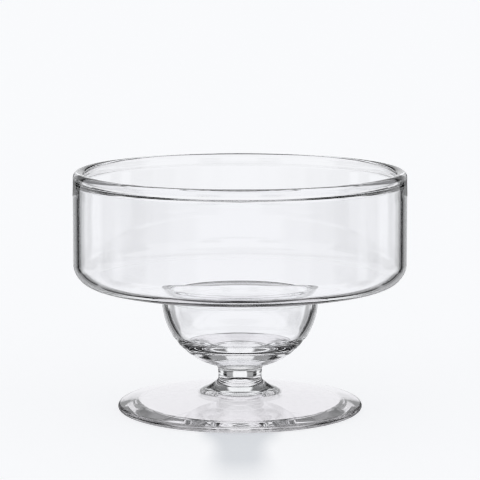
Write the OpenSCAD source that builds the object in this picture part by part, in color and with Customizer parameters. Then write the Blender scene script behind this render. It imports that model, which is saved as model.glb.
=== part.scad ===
// Footed cocktail glass in clear, colourless glass: a wide straight-sided bowl, a hollow
// bulb below it that opens into the bowl, a short solid stem and a round domed foot.
// Four pieces of hot-worked glass, welded face to face on one upright axis.
// Millimetres, standing on z = 0, centred on the z axis.

/* [Bowl] */
// Outside diameter of the straight wall
bowl_d = 105; // [90:1:130]
// Height of the straight wall from the heel to the rim
wall_h = 28.8; // [20:0.1:55]
// Thickness of the wall and of the floor
bowl_wall = 1.9; // [1.6:0.1:2.4]
// Outside radius of the rounded heel between wall and floor
heel_r = 7; // [4:0.5:12]
// Slope of the floor down to the bulb, in degrees
floor_slope = 11.5; // [6:0.5:16]
// Thickness of the fire-polished bead along the rim
bead_d = 3.7; // [2.8:0.1:4.4]
// How far the bead leans in from the outside of the wall
bead_lean = 0.15; // [0:0.05:0.4]
// Radius of the hollow where the bead runs into the inside of the wall
bead_fillet_r = 1; // [0.5:0.1:2]
// Radius of the smoothed lip where the floor turns down into the bulb
lip_r = 0.8; // [0.6:0.1:2.2]
// Radius of the hollow outside, between the floor and the bulb
throat_r = 0.65; // [0.5:0.05:2]

/* [Bulb] */
// Outside diameter of the bulb at its widest level, where the bowl is welded on
bulb_d = 49.4; // [46:0.2:60]
// Radius of the arc that the outside of the bulb follows
bulb_arc_r = 21.5; // [20:0.5:22.5]
// Thickness of the bulb's wall
bulb_wall = 2; // [1.5:0.1:3]
// Thickness of the solid glass between the hollow and the stem
bulb_base = 6.8; // [4:0.1:8]
// Radius of the corner round the floor of the hollow
hollow_r = 8; // [3:0.5:10]

/* [Stem] */
// Diameter of the stem at both ends of its waist
stem_d = 14; // [11:0.2:16]
// Height of the waist, between the flare below and the neck above
waist_h = 2.9; // [2:0.1:30]
// How far the waist is drawn in
waist_depth = 0.15; // [0.05:0.05:0.4]
// Radius of the flare that spreads the stem on to the foot
flare_r = 11; // [9.5:0.5:14]
// Radius of the neck that joins the stem to the bulb
neck_r = 2; // [1:0.1:3]

/* [Foot] */
// Diameter of the foot
foot_d = 77.3; // [70:0.5:95]
// Thickness of the rounded edge of the foot
edge_t = 2; // [1.4:0.1:3]
// Radius of the dome that the top of the foot follows
dome_r = 165; // [140:1:220]
// Distance from the axis at which the flare runs out on the dome
flare_out = 14.2; // [13:0.2:16]
// How far the seat for the stem stands above the run-out of the flare
seat_rise = 0.4; // [0.2:0.05:0.8]
// Diameter of the hollow under the foot, inside the ring it stands on
hollow_d = 65; // [54:0.5:68]
// Depth of the hollow under the foot at its middle
hollow_depth = 3; // [1:0.1:3.4]
// Radius of the rounded edge between the hollow and the ring
hollow_edge_r = 12; // [4:1:24]

/* [Finish] */
// Straight steps in each rounded stretch of a profile
steps = 24; // [12:1:48]
// Steps round the axis
$fn = 180; // [60:10:360]

/* [Hidden] */
clear_glass = [0.86, 0.90, 0.92, 0.35];

// Foot: the edge arc and the flare arc are both tangent to the dome
foot_r = foot_d / 2;
edge_r = edge_t / 2;
edge_at = [foot_r - edge_r, edge_r];
edge_lean = asin(edge_at.x / (dome_r - edge_r));
dome_at = [0, edge_r - (dome_r - edge_r) * cos(edge_lean)];
flare_lean = asin(flare_out / dome_r);
flare_at = dome_at + (dome_r + flare_r) * [sin(flare_lean), cos(flare_lean)];
under_r = (pow(hollow_d / 2, 2) + pow(hollow_depth, 2)) / (2 * hollow_depth) - hollow_edge_r;
under_at = [0, hollow_depth - under_r];
under_edge_at = [hollow_d / 2, hollow_edge_r];
under_a = atan2(under_edge_at.y - under_at.y, under_edge_at.x);

// Seat between foot and stem: a flat disc cut through the flare
seat_z = dome_at.y + dome_r * cos(flare_lean) + seat_rise;
seat_a = 180 + asin((flare_at.y - seat_z) / flare_r);
seat_r = flare_at.x + flare_r * cos(seat_a);

// Stem: flare, waist and neck
stem_r = stem_d / 2;
waist_a = 180 + acos((flare_at.x - stem_r) / flare_r);
waist_z = flare_at.y + flare_r * sin(waist_a);
waist_arc_r = (pow(waist_h / 2, 2) + pow(waist_depth, 2)) / (2 * waist_depth);
waist_arc_a = asin(waist_h / 2 / waist_arc_r);
waist_at = [stem_r - waist_depth + waist_arc_r, waist_z + waist_h / 2];
neck_at = [stem_r + neck_r, waist_z + waist_h];

// Bulb: its arc is tangent to the neck, and the weld lies where they touch
bulb_r = bulb_d / 2;
arc_in = bulb_r - bulb_arc_r;
neck_lean = asin((neck_at.x - arc_in) / (bulb_arc_r + neck_r));
bulb_at = [arc_in, neck_at.y + (bulb_arc_r + neck_r) * cos(neck_lean)];
weld_z = bulb_at.y - bulb_arc_r * cos(neck_lean);
weld_r = arc_in + bulb_arc_r * sin(neck_lean);
well_r = bulb_r - bulb_wall;
inner_arc_r = bulb_arc_r - bulb_wall;
hollow_z = weld_z + bulb_base;
corner_drop = bulb_at.y - hollow_z - hollow_r;
corner_at = [
    arc_in + sqrt(pow(inner_arc_r - hollow_r, 2) - pow(corner_drop, 2)),
    hollow_z + hollow_r
];
corner_a = -acos((corner_at.x - arc_in) / (inner_arc_r - hollow_r));

// Bowl: stands on the edge of the bulb; its floor runs from the throat up to the heel
bowl_r = bowl_d / 2;
throat_z = bulb_at.y;
throat_at = [bulb_r + throat_r, throat_z];
heel_x = bowl_r - heel_r;
floor_run = (heel_x - throat_at.x) * sin(floor_slope);
heel_at = [heel_x, throat_z + (throat_r + heel_r + floor_run) / cos(floor_slope)];
rim_z = heel_at.y + wall_h;
inside_r = bowl_r - bowl_wall;
floor_up = [-sin(floor_slope), cos(floor_slope)];
lip_x = well_r + lip_r;
lip_fall = (heel_x + (bowl_wall - heel_r - lip_r) * floor_up.x - lip_x) * tan(floor_slope);
lip_at = [lip_x, heel_at.y + (bowl_wall - heel_r - lip_r) * floor_up.y - lip_fall];
bead_r = bead_d / 2;
bead_at = [bowl_r - bead_lean - bead_r, rim_z - bead_r];
fillet_x = inside_r - bead_fillet_r;
bead_a = acos((bead_at.x - fillet_x) / (bead_r + bead_fillet_r));
fillet_at = [fillet_x, bead_at.y - (bead_r + bead_fillet_r) * sin(bead_a)];
lead_in = 2 * bead_d;

// Points of an arc after its first point, so that each arc continues the outline before it
function arc(at, r, from, to) = [
    for (i = [1 : steps])
        let (a = from + (to - from) * i / steps)
            at + r * [cos(a), sin(a)]
];

// One turned piece of glass from its half outline, as [distance from axis, height]
module turned(outline) {
    color(clear_glass)
        rotate_extrude()
            polygon(outline);
}

// Wide cup with a beaded rim, a rounded heel and a sloping floor open over the bulb
module bowl() {
    turned(concat(
        [[well_r, throat_z], [bulb_r, throat_z]],
        arc(throat_at, throat_r, 180, 90 + floor_slope),
        [heel_at - heel_r * floor_up],
        arc(heel_at, heel_r, floor_slope - 90, 0),
        [[bowl_r, rim_z - lead_in], [bead_at.x + bead_r, bead_at.y]],
        arc(bead_at, bead_r, 0, 180 + bead_a),
        arc(fillet_at, bead_fillet_r, bead_a, 0),
        [[inside_r, heel_at.y]],
        arc(heel_at, heel_r - bowl_wall, 0, floor_slope - 90),
        [lip_at + lip_r * floor_up],
        arc(lip_at, lip_r, 90 + floor_slope, 180)
    ));
}

// Hollow bulb, open at its widest level, where it is welded under the hole in the bowl's floor
module bulb() {
    turned(concat(
        [[0, weld_z], [weld_r, weld_z]],
        arc(bulb_at, bulb_arc_r, neck_lean - 90, 0),
        [[well_r, throat_z]],
        arc(bulb_at, inner_arc_r, 0, corner_a),
        arc(corner_at, hollow_r, corner_a, -90),
        [[0, hollow_z]]
    ));
}

// Short solid stem: a flare on the foot, a drawn-in waist and a neck under the bulb
module stem() {
    turned(concat(
        [[0, seat_z], [seat_r, seat_z]],
        arc(flare_at, flare_r, seat_a, waist_a),
        arc(waist_at, waist_arc_r, 180 + waist_arc_a, 180 - waist_arc_a),
        arc(neck_at, neck_r, 180, 90 + neck_lean),
        [[0, weld_z]]
    ));
}

// Domed disc with a rounded edge, standing on a flat ring round a hollow as domed as its top
module foot() {
    turned(concat(
        [[0, hollow_depth]],
        arc(under_at, under_r, 90, under_a),
        arc(under_edge_at, hollow_edge_r, 180 + under_a, 270),
        [[edge_at.x, 0]],
        arc(edge_at, edge_r, -90, 90 - edge_lean),
        arc(dome_at, dome_r, 90 - edge_lean, 90 - flare_lean),
        arc(flare_at, flare_r, 270 - flare_lean, seat_a),
        [[0, seat_z]]
    ));
}

bowl();
bulb();
stem();
foot();
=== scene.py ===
from math import acos, asin, atan2, cos, degrees, pi, radians, sin, sqrt, tan

import bmesh
import bpy
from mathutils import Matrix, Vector


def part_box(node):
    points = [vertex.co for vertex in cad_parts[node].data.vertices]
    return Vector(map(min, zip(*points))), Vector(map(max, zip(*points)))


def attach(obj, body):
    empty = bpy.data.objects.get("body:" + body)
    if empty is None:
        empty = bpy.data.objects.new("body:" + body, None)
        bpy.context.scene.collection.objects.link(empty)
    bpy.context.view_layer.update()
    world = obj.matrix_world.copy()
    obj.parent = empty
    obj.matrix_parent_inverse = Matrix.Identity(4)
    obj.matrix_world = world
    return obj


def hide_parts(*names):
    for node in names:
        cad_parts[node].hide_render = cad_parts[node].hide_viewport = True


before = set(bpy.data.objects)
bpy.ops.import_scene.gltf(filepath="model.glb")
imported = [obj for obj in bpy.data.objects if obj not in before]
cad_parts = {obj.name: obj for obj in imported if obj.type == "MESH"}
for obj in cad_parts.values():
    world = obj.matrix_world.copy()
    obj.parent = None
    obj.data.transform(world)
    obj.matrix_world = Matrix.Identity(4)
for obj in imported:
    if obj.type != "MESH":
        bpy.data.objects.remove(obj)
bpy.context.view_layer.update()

# Camera
# It stands in front of the glass, a little above the rim, and looks slightly down at it.
# A long lens from under a metre away keeps the upright walls parallel.
scene = bpy.context.scene
camera_back = 0.7633
camera_up = 0.16165
camera_tilt = 8.056
camera_data = bpy.data.cameras.new("camera")
camera_data.sensor_fit = "HORIZONTAL"
camera_data.sensor_width = 36
camera_data.lens = 183.92
camera = bpy.data.objects.new("camera", camera_data)
camera.location = (0, -camera_back, camera_up)
camera.rotation_euler = (radians(90 - camera_tilt), 0, 0)
scene.collection.objects.link(camera)
scene.camera = camera

# Foot
# A solid disc of clear soda-lime glass, pressed while hot to a low dome with a round edge.
# It is hollowed below, stands on a flat ring, and has the stem welded to a seat on top.
MM = 0.001
foot_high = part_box("foot")[1] / MM
foot_r = foot_high.x
seat_z = foot_high.z
edge_t = 2
edge_r = edge_t / 2
dome_r = 165
flare_out = 14.2
flare_r = 11
hollow_d = 65
hollow_depth = 3
hollow_edge_r = 12


# Points of an arc after its first one, so that each arc continues the outline before it
def arc(at, radius, start, end, steps=32):
    turns = [radians(start + (end - start) * i / steps) for i in range(1, steps + 1)]
    return [at + radius * Vector((cos(a), sin(a))) for a in turns]


# One node with its settings, its constant inputs and its links
def add(tree, kind, inputs=None, **settings):
    node = tree.nodes.new(kind)
    for name, value in settings.items():
        setattr(node, name, value)
    for name, value in (inputs or {}).items():
        if isinstance(value, bpy.types.NodeSocket):
            tree.links.new(value, node.inputs[name])
        else:
            node.inputs[name].default_value = value
    return node


# An sRGB hex colour as linear light
def colour(code):
    parts = [int(code[i : i + 2], 16) / 255 for i in (1, 3, 5)]
    return [p / 12.92 if p <= 0.04045 else ((p + 0.055) / 1.055) ** 2.4 for p in parts] + [1]


# Turns a half outline round the upright axis, as hot glass is turned on its iron. Points
# closer than the reach become one, and faces at the level of a weld get the glass of the weld.
merge_reach = 0.001
weld_slack = 0.002
lathe = bpy.data.node_groups.new("turned_glass", "GeometryNodeTree")
for socket_name, socket_type in {
    "Outline": "NodeSocketGeometry",
    "Steps round": "NodeSocketInt",
    "Sharp angle": "NodeSocketFloat",
    "Lower weld": "NodeSocketFloat",
    "Upper weld": "NodeSocketFloat",
    "Glass": "NodeSocketMaterial",
    "Weld glass": "NodeSocketMaterial",
}.items():
    lathe.interface.new_socket(socket_name, in_out="INPUT", socket_type=socket_type)
lathe.interface.new_socket("Piece", in_out="OUTPUT", socket_type="NodeSocketGeometry")
given = add(lathe, "NodeGroupInput").outputs
count = add(
    lathe, "GeometryNodeAttributeDomainSize", {"Geometry": given["Outline"]}, component="MESH"
).outputs["Point Count"]
columns = add(lathe, "ShaderNodeMath", {0: given["Steps round"], 1: 1}, operation="ADD").outputs[0]
grid = add(lathe, "GeometryNodeMeshGrid", {"Vertices X": columns, "Vertices Y": count})
index = add(lathe, "GeometryNodeInputIndex").outputs[0]
row = add(lathe, "ShaderNodeMath", {0: index, 1: count}, operation="MODULO").outputs[0]
column = add(lathe, "ShaderNodeMath", {0: index, 1: count}, operation="DIVIDE").outputs[0]
column = add(lathe, "ShaderNodeMath", {0: column}, operation="FLOOR").outputs[0]
share = add(lathe, "ShaderNodeMath", {0: column, 1: given["Steps round"]}, operation="DIVIDE").outputs[0]
turn = add(lathe, "ShaderNodeMath", {0: share, 1: 2 * pi}, operation="MULTIPLY").outputs[0]
place = add(lathe, "GeometryNodeInputPosition").outputs[0]
point = add(
    lathe,
    "GeometryNodeSampleIndex",
    {"Geometry": given["Outline"], "Value": place, "Index": row},
    data_type="FLOAT_VECTOR",
).outputs[0]
point = add(lathe, "ShaderNodeSeparateXYZ", {0: point}).outputs
turn_cos = add(lathe, "ShaderNodeMath", {0: turn}, operation="COSINE").outputs[0]
turn_sin = add(lathe, "ShaderNodeMath", {0: turn}, operation="SINE").outputs[0]
turned = add(
    lathe,
    "ShaderNodeCombineXYZ",
    {
        "X": add(lathe, "ShaderNodeMath", {0: point["X"], 1: turn_cos}, operation="MULTIPLY").outputs[0],
        "Y": add(lathe, "ShaderNodeMath", {0: point["X"], 1: turn_sin}, operation="MULTIPLY").outputs[0],
        "Z": point["Z"],
    },
).outputs[0]
body = add(lathe, "GeometryNodeSetPosition", {"Geometry": grid.outputs["Mesh"], "Position": turned})
body = add(
    lathe,
    "GeometryNodeMergeByDistance",
    {"Geometry": body.outputs[0], "Distance": merge_reach * MM},
)
body = add(lathe, "GeometryNodeSetShadeSmooth", {"Geometry": body.outputs[0], "Shade Smooth": True})
bend = add(lathe, "GeometryNodeInputMeshEdgeAngle").outputs["Unsigned Angle"]
sharp = add(
    lathe, "FunctionNodeCompare", {"A": bend, "B": given["Sharp angle"]}, operation="GREATER_THAN"
).outputs[0]
body = add(
    lathe,
    "GeometryNodeSetShadeSmooth",
    {"Geometry": body.outputs[0], "Selection": sharp, "Shade Smooth": False},
    domain="EDGE",
)
body = add(lathe, "GeometryNodeRealizeInstances", {"Geometry": body.outputs[0]})
body = add(lathe, "GeometryNodeSetMaterial", {"Geometry": body.outputs[0], "Material": given["Glass"]})
level_z = add(lathe, "ShaderNodeSeparateXYZ", {0: place}).outputs["Z"]
welded = []
for level in ("Lower weld", "Upper weld"):
    welded.append(
        add(
            lathe,
            "FunctionNodeCompare",
            {"A": level_z, "B": given[level], "Epsilon": weld_slack * MM},
            operation="EQUAL",
        ).outputs[0]
    )
welded = add(lathe, "FunctionNodeBooleanMath", {0: welded[0], 1: welded[1]}, operation="OR").outputs[0]
body = add(
    lathe,
    "GeometryNodeSetMaterial",
    {"Geometry": body.outputs[0], "Selection": welded, "Material": given["Weld glass"]},
)
add(lathe, "NodeGroupOutput", {"Piece": body.outputs[0]})


# A finished piece from its outline in millimetres, as a plain mesh at the origin.
# A point close to each end of a straight stretch keeps the shading of flat faces true, and a
# hair's breadth between two welded faces keeps them out of one plane.
guard = 0.15
long_stretch = 8 * guard
weld_gap = 0.01
no_weld = -1000
steps_round = 256
sharp_angle = 30


def turned_piece(name, outline, glass, lower_weld=None, upper_weld=None):
    profile = bpy.data.meshes.new(name)
    path = [Vector(outline[0])]
    for corner in outline[1:]:
        stretch = Vector(corner) - path[-1]
        if stretch.length > long_stretch:
            inset = guard * stretch.normalized()
            path += [path[-1] + inset, Vector(corner) - inset]
        path.append(Vector(corner))
    levels = []
    for weld, away in ((lower_weld, weld_gap), (upper_weld, -weld_gap)):
        if weld is None:
            levels.append(no_weld)
            continue
        for point in path:
            if abs(point.y - weld) < weld_gap / 2:
                point.y = weld + away
        levels.append(weld + away)
    points = [(p.x * MM, 0, p.y * MM) for p in path]
    profile.from_pydata(points, [(i, i + 1) for i in range(len(points) - 1)], [])
    piece = bpy.data.objects.new(name, profile)
    scene.collection.objects.link(piece)
    modifier = piece.modifiers.new("lathe", "NODES")
    modifier.node_group = lathe
    values = {
        "Steps round": steps_round,
        "Sharp angle": radians(sharp_angle),
        "Lower weld": levels[0] * MM,
        "Upper weld": levels[1] * MM,
        "Glass": glass,
        "Weld glass": weld_glass,
    }
    for item in lathe.interface.items_tree:
        if item.in_out == "INPUT" and item.name in values:
            modifier[item.identifier] = values[item.name]
    graph = bpy.context.evaluated_depsgraph_get()
    finished = bpy.data.meshes.new_from_object(piece.evaluated_get(graph))
    piece.modifiers.clear()
    piece.data = finished
    shell = bmesh.new()
    shell.from_mesh(finished)
    bmesh.ops.recalc_face_normals(shell, faces=shell.faces)
    shell.to_mesh(finished)
    shell.free()
    return piece


# Fire-polished soda-lime glass: clear and colourless, with a bright skin and the faint slow
# ripple of hot work, which bends the dark lines along its edges
glass_ior = 1.5
streak_mm = 25
least_polish = 0.01


def fire_polished_glass(name, tint, shade, ripple_mm, ripple_depth):
    material = bpy.data.materials.new(name)
    material.use_nodes = True
    tree = material.node_tree
    tree.nodes.clear()
    where = add(tree, "ShaderNodeTexCoord").outputs["Object"]
    ripple = add(
        tree, "ShaderNodeTexNoise", {"Vector": where, "Scale": 1 / (ripple_mm * MM), "Detail": 1}
    ).outputs[0]
    streak = add(
        tree, "ShaderNodeTexNoise", {"Vector": where, "Scale": 1 / (streak_mm * MM), "Detail": 2}
    ).outputs[0]
    skin = add(
        tree,
        "ShaderNodeMix",
        {"Factor": streak, "A": colour(tint), "B": colour(shade)},
        data_type="RGBA",
    ).outputs["Result"]
    bump = add(
        tree,
        "ShaderNodeBump",
        {"Height": ripple, "Strength": 1, "Distance": ripple_depth * MM},
    ).outputs[0]
    polish = add(
        tree,
        "ShaderNodeMapRange",
        {"Value": streak, "To Min": 0, "To Max": least_polish},
    ).outputs[0]
    surface = add(
        tree,
        "ShaderNodeBsdfPrincipled",
        {
            "Base Color": skin,
            "Roughness": polish,
            "IOR": glass_ior,
            "Transmission Weight": 1,
            "Normal": bump,
        },
    ).outputs[0]
    add(tree, "ShaderNodeOutputMaterial", {"Surface": surface})
    return material


# Inside a weld the two pieces are one glass, so light goes straight on
weld_glass = bpy.data.materials.new("fused_glass_in_weld")
weld_glass.use_nodes = True
weld_shader = weld_glass.node_tree.nodes["Principled BSDF"]
for input_name, value in {
    "Roughness": 0,
    "IOR": 1,
    "Transmission Weight": 1,
    "Base Color": (1, 1, 1, 1),
}.items():
    weld_shader.inputs[input_name].default_value = value

edge_at = Vector((foot_r - edge_r, edge_r))
edge_lean = asin(edge_at.x / (dome_r - edge_r))
dome_at = Vector((0, edge_r - (dome_r - edge_r) * cos(edge_lean)))
flare_lean = asin(flare_out / dome_r)
flare_at = dome_at + (dome_r + flare_r) * Vector((sin(flare_lean), cos(flare_lean)))
under_r = ((hollow_d / 2) ** 2 + hollow_depth**2) / (2 * hollow_depth) - hollow_edge_r
under_at = Vector((0, hollow_depth - under_r))
under_edge_at = Vector((hollow_d / 2, hollow_edge_r))
under_a = degrees(atan2(under_edge_at.y - under_at.y, under_edge_at.x))
seat_a = 180 + degrees(asin((flare_at.y - seat_z) / flare_r))
seat_r = flare_at.x + flare_r * cos(radians(seat_a))
foot_outline = [(0, hollow_depth)]
foot_outline += arc(under_at, under_r, 90, under_a)
foot_outline += arc(under_edge_at, hollow_edge_r, 180 + under_a, 270)
foot_outline += [(edge_at.x, 0)]
foot_outline += arc(edge_at, edge_r, -90, 90 - degrees(edge_lean), steps=48)
foot_outline += arc(dome_at, dome_r, 90 - degrees(edge_lean), 90 - degrees(flare_lean), steps=48)
foot_outline += arc(flare_at, flare_r, 270 - degrees(flare_lean), seat_a)
foot_outline += [(0, seat_z)]
# The foot's glass is a little greyer than the rest: painted shade of the table beneath it, seen through
# the foot
foot_glass = fire_polished_glass(
    "pressed_glass_with_painted_shade", "#F1EFF1", "#EAE7EA", ripple_mm=9, ripple_depth=0.01
)
foot = turned_piece("glass_foot", foot_outline, foot_glass, upper_weld=seat_z)
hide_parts("foot")
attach(foot, "root")

# Stem
# A short solid gather of the same glass, drawn in to a waist while hot.
# It is welded to the seat of the foot with a wide flare, and to the bulb with a tight neck.
weld_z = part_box("stem")[1].z / MM
stem_d = 14
stem_r = stem_d / 2
waist_h = 2.9
waist_depth = 0.15
neck_r = 2
waist_a = 180 + degrees(acos((flare_at.x - stem_r) / flare_r))
waist_z = flare_at.y + flare_r * sin(radians(waist_a))
waist_arc_r = ((waist_h / 2) ** 2 + waist_depth**2) / (2 * waist_depth)
waist_arc_a = degrees(asin(waist_h / 2 / waist_arc_r))
waist_at = Vector((stem_r - waist_depth + waist_arc_r, waist_z + waist_h / 2))
neck_at = Vector((stem_r + neck_r, waist_z + waist_h))
neck_turn = degrees(asin((weld_z - neck_at.y) / neck_r))
stem_outline = [(0, seat_z), (seat_r, seat_z)]
stem_outline += arc(flare_at, flare_r, seat_a, waist_a, steps=48)
stem_outline += arc(waist_at, waist_arc_r, 180 + waist_arc_a, 180 - waist_arc_a)
stem_outline += arc(neck_at, neck_r, 180, 180 - neck_turn)
weld_r = stem_outline[-1][0]
stem_outline += [(0, weld_z)]
stem_glass = fire_polished_glass(
    "drawn_soda_lime_glass", "#FDFDFD", "#FAFBFB", ripple_mm=6, ripple_depth=0.01
)
stem = turned_piece("glass_stem", stem_outline, stem_glass, lower_weld=seat_z, upper_weld=weld_z)
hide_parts("stem")
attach(stem, "root")

# Bulb
# A small blown bubble of clear glass, cut open at its widest level.
# Its thick base is welded to the stem, and its open edge to the hole in the floor of the bowl.
bulb_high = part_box("bulb")[1] / MM
bulb_r = bulb_high.x
throat_z = bulb_high.z
bulb_arc_r = 21.5
bulb_wall = 2
bulb_base = 6.8
hollow_r = 8
bulb_at = Vector((bulb_r - bulb_arc_r, throat_z))
well_r = bulb_r - bulb_wall
inner_arc_r = bulb_arc_r - bulb_wall
hollow_z = weld_z + bulb_base
corner_drop = throat_z - hollow_z - hollow_r
corner_out = sqrt((inner_arc_r - hollow_r) ** 2 - corner_drop**2)
corner_at = Vector((bulb_at.x + corner_out, hollow_z + hollow_r))
corner_a = -degrees(acos(corner_out / (inner_arc_r - hollow_r)))
bulb_outline = [(0, weld_z), (weld_r, weld_z)]
bulb_outline += arc(bulb_at, bulb_arc_r, -neck_turn, 0, steps=64)
bulb_outline += [(well_r, throat_z)]
bulb_outline += arc(bulb_at, inner_arc_r, 0, corner_a, steps=64)
bulb_outline += arc(corner_at, hollow_r, corner_a, -90)
bulb_outline += [(0, hollow_z)]
bulb_glass = fire_polished_glass(
    "blown_soda_lime_glass", "#FDFDFE", "#FBFBFC", ripple_mm=9, ripple_depth=0.008
)
bulb = turned_piece("glass_bulb", bulb_outline, bulb_glass, lower_weld=weld_z, upper_weld=throat_z)
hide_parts("bulb")
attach(bulb, "root")

# Bowl
# A wide straight-sided cup of blown glass whose floor slopes down to a hole over the bulb.
# Its rim is cut and fire polished, which draws the edge up into a round bead.
bowl_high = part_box("bowl")[1] / MM
bowl_r = bowl_high.x
rim_z = bowl_high.z
wall_h = 28.8
bowl_wall = 1.9
heel_r = 7
floor_slope = 11.5
lip_r = 0.8
throat_r = 0.65
bead_d = 3.7
bead_r = bead_d / 2
bead_lean = 0.15
bead_fillet_r = 1
lead_in = 2 * bead_d
inside_r = bowl_r - bowl_wall
heel_at = Vector((bowl_r - heel_r, rim_z - wall_h))
floor_up = Vector((-sin(radians(floor_slope)), cos(radians(floor_slope))))
throat_at = Vector((bulb_r + throat_r, throat_z))
lip_from = heel_at + (bowl_wall - heel_r - lip_r) * floor_up
lip_x = well_r + lip_r
lip_at = Vector((lip_x, lip_from.y - (lip_from.x - lip_x) * tan(radians(floor_slope))))
bead_at = Vector((bowl_r - bead_lean - bead_r, rim_z - bead_r))
fillet_x = inside_r - bead_fillet_r
bead_a = degrees(acos((bead_at.x - fillet_x) / (bead_r + bead_fillet_r)))
fillet_at = Vector((fillet_x, bead_at.y - (bead_r + bead_fillet_r) * sin(radians(bead_a))))
bowl_outline = [(well_r, throat_z), (bulb_r, throat_z)]
bowl_outline += arc(throat_at, throat_r, 180, 90 + floor_slope)
bowl_outline += [heel_at - heel_r * floor_up]
bowl_outline += arc(heel_at, heel_r, floor_slope - 90, 0)
bowl_outline += [(bowl_r, rim_z - lead_in), (bead_at.x + bead_r, bead_at.y)]
bowl_outline += arc(bead_at, bead_r, 0, 180 + bead_a, steps=64)
bowl_outline += arc(fillet_at, bead_fillet_r, bead_a, 0, steps=16)
bowl_outline += [(inside_r, heel_at.y)]
bowl_outline += arc(heel_at, heel_r - bowl_wall, 0, floor_slope - 90)
bowl_outline += [lip_at + lip_r * floor_up]
bowl_outline += arc(lip_at, lip_r, 90 + floor_slope, 180)
bowl_outline += [(well_r, throat_z)]
bowl_glass = fire_polished_glass(
    "fire_polished_soda_lime_glass", "#FDFDFE", "#FBFBFC", ripple_mm=12, ripple_depth=0.008
)
bowl = turned_piece("glass_bowl", bowl_outline, bowl_glass, lower_weld=throat_z)
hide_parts("bowl")
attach(bowl, "root")

# Floor
# A plain pale table top that runs on to the horizon, so that it is also the background.
# The glass is lit through it from all sides, and it keeps the soft shadow of the stem: one
# share of its tone is even, and the other comes from a low lamp behind the glass.
background = colour("#F9FAFC")
floor_half = 30
floor_gap = 0.0002
floor_mesh = bpy.data.meshes.new("floor")
floor_mesh.from_pydata(
    [(x * floor_half, y * floor_half, -floor_gap) for x, y in ((-1, -1), (1, -1), (1, 1), (-1, 1))],
    [],
    [(0, 1, 2, 3)],
)
floor = bpy.data.objects.new("floor", floor_mesh)
scene.collection.objects.link(floor)
floor.visible_transmission = False
floor.visible_glossy = False
floor_paint = bpy.data.materials.new("matt_white_table")
floor_paint.use_nodes = True
floor_tree = floor_paint.node_tree
floor_tree.nodes.clear()
even_share = 0.578
back_share = 0.245
back_tint = (1, 0.94, 0.86)
even_colour = [b * (even_share + back_share * (1 - t)) for b, t in zip(background, back_tint)] + [1]
floor_seen = add(floor_tree, "ShaderNodeLightPath").outputs["Is Camera Ray"]
even_tone = add(
    floor_tree, "ShaderNodeEmission", {"Color": even_colour, "Strength": floor_seen}
).outputs[0]
lit_tone = add(floor_tree, "ShaderNodeBsdfDiffuse", {"Color": background}).outputs[0]
floor_tone = add(floor_tree, "ShaderNodeAddShader", {0: even_tone, 1: lit_tone}).outputs[0]
add(floor_tree, "ShaderNodeOutputMaterial", {"Surface": floor_tone})
floor_mesh.materials.append(floor_paint)

# Studio
# A white tent with dark cards between its white panels, which draw the edges of clear glass, and a dark
# ground below, which is painted shade of the table under the glass.
# Camera rays see the plain background, and a low lamp behind gives the shadow of the stem.
world = bpy.data.worlds.new("studio")
scene.world = world
world.use_nodes = True
sky = world.node_tree
sky.nodes.clear()
# Each card: how far round from behind the glass it starts and ends on both sides, how high
# it starts and ends, its tone and the width of its soft edge, with all angles in degrees
cards = {
    "ceiling_behind": (-9, 60, 50, 95, 0.2, 6),
    "ceiling_in_front": (120, 190, 50, 95, 0.35, 6),
    # The three black grounds below are painted shade: the table under the glass, as the glass sees it
    "shade_under_glass_aside": (9, 62, -95, -52, 0.0, 6),
    "shade_under_glass_behind": (-9, 9, -95, -48, 0.0, 6),
    "shade_under_glass_in_front": (150, 190, -95, -48, 0.0, 8),
    "low_gap": (18, 32, -54, -30, 0.0, 4),
    "low_gap_edge": (32, 50, -54, -30, 0.3, 4),
    "grey_wing": (13, 33, -30, -3, 0.35, 3),
    "gap_beside_wing": (32, 45, -30, -13, 0.0, 3),
    "upper_gap": (27, 39, -14, -3, 0.0, 3),
    "gap_edge": (45, 52, -30, -14, 0.1, 4),
    "back_edge": (12, 36, -3, 24, 0.15, 4),
    "back_side": (30, 56, 6, 40, 0.0, 6),
    "side_wall": (52, 106, -3, 30, 0.0, 6),
    "low_side": (72, 98, -32, -14, 0.0, 6),
    "side_wing": (70, 83, -14, -3, 0.4, 3),
    "side_panel": (83, 93, -14, -3, 0.95, 3),
    "front_wing": (92, 114, -14, -3, 0.2, 4),
    "front_middle": (114, 132, -14, -3, 0.4, 6),
    "front_end": (132, 150, -14, -3, 0.65, 8),
    "beside_camera": (150, 166, -5, 16, 0.0, 6),
}
towards = add(sky, "ShaderNodeTexCoord").outputs["Generated"]
towards = add(sky, "ShaderNodeSeparateXYZ", {0: towards}).outputs
azimuth = add(sky, "ShaderNodeMath", {0: towards["X"], 1: towards["Y"]}, operation="ARCTAN2").outputs[0]
azimuth = add(sky, "ShaderNodeMath", {0: azimuth}, operation="ABSOLUTE").outputs[0]
height = add(sky, "ShaderNodeMath", {0: towards["Z"]}, operation="ARCSINE").outputs[0]


# How much of a card lies in a direction: one within its span of an angle, nought outside it
def within(angle, start, end, soft):
    middle = radians((start + end) / 2)
    half = radians((end - start) / 2)
    blur = radians(soft / 2)
    away = add(sky, "ShaderNodeMath", {0: angle, 1: middle}, operation="SUBTRACT").outputs[0]
    away = add(sky, "ShaderNodeMath", {0: away}, operation="ABSOLUTE").outputs[0]
    return add(
        sky,
        "ShaderNodeMapRange",
        {"Value": away, "From Min": half + blur, "From Max": half - blur},
        interpolation_type="SMOOTHSTEP",
    ).outputs[0]


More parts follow.
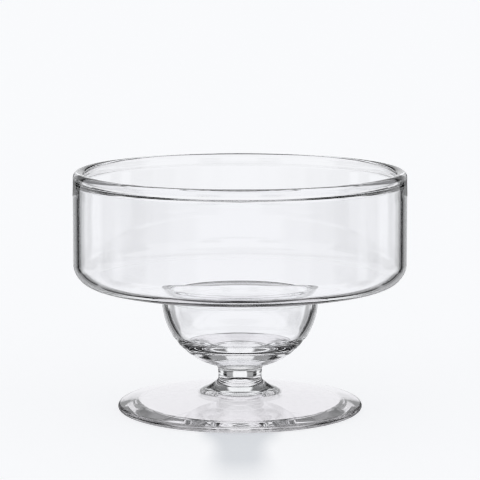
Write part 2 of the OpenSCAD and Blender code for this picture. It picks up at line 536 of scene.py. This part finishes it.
pattern = background
for card_name, (left, right, bottom, top, tone, soft) in cards.items():
    cover = add(
        sky,
        "ShaderNodeMath",
        {0: within(azimuth, left, right, soft), 1: within(height, bottom, top, soft)},
        operation="MULTIPLY",
        label=card_name,
    ).outputs[0]
    shade = [tone * c for c in background[:3]] + [1]
    pattern = add(
        sky, "ShaderNodeMix", {"Factor": cover, "A": pattern, "B": shade}, data_type="RGBA"
    ).outputs["Result"]
# The table gathers only a dim even light from the tent, so that the shadow stays clear on it
soft_level = 0.15
rays = add(sky, "ShaderNodeLightPath").outputs
from_floor = add(
    sky, "ShaderNodeMath", {0: rays["Diffuse Depth"], 1: 0.5}, operation="GREATER_THAN"
).outputs[0]
seen = add(
    sky,
    "ShaderNodeMix",
    {"Factor": from_floor, "A": pattern, "B": (soft_level, soft_level, soft_level, 1)},
    data_type="RGBA",
).outputs["Result"]
seen = add(
    sky,
    "ShaderNodeMix",
    {"Factor": rays["Is Camera Ray"], "A": seen, "B": background},
    data_type="RGBA",
).outputs["Result"]
light = add(sky, "ShaderNodeBackground", {"Color": seen, "Strength": 1}).outputs[0]
add(sky, "ShaderNodeOutputWorld", {"Surface": light})

# The low lamp lights the table alone, and the stem alone stands in its way
back_height = 10
back_spread = 5.5
back_data = bpy.data.lights.new("low_back_light", "SUN")
back_data.energy = back_share * pi / sin(radians(back_height))
back_data.angle = radians(back_spread)
back_data.color = back_tint
back_data.cycles.use_multiple_importance_sampling = False
back_light = bpy.data.objects.new("low_back_light", back_data)
back_light.rotation_euler = (radians(90 - back_height), 0, pi)
scene.collection.objects.link(back_light)
lit = bpy.data.collections.new("lit_by_back_light")
lit.objects.link(floor)
shading = bpy.data.collections.new("in_back_light")
shading.objects.link(stem)
back_light.light_linking.receiver_collection = lit
back_light.light_linking.blocker_collection = shading

# Plain colours, crisp lines and enough bounces for light to find its way out of solid glass
scene.view_settings.view_transform = "Standard"
scene.cycles.filter_width = 1.2
scene.cycles.max_bounces = 32
scene.cycles.transmission_bounces = 32
scene.cycles.glossy_bounces = 16
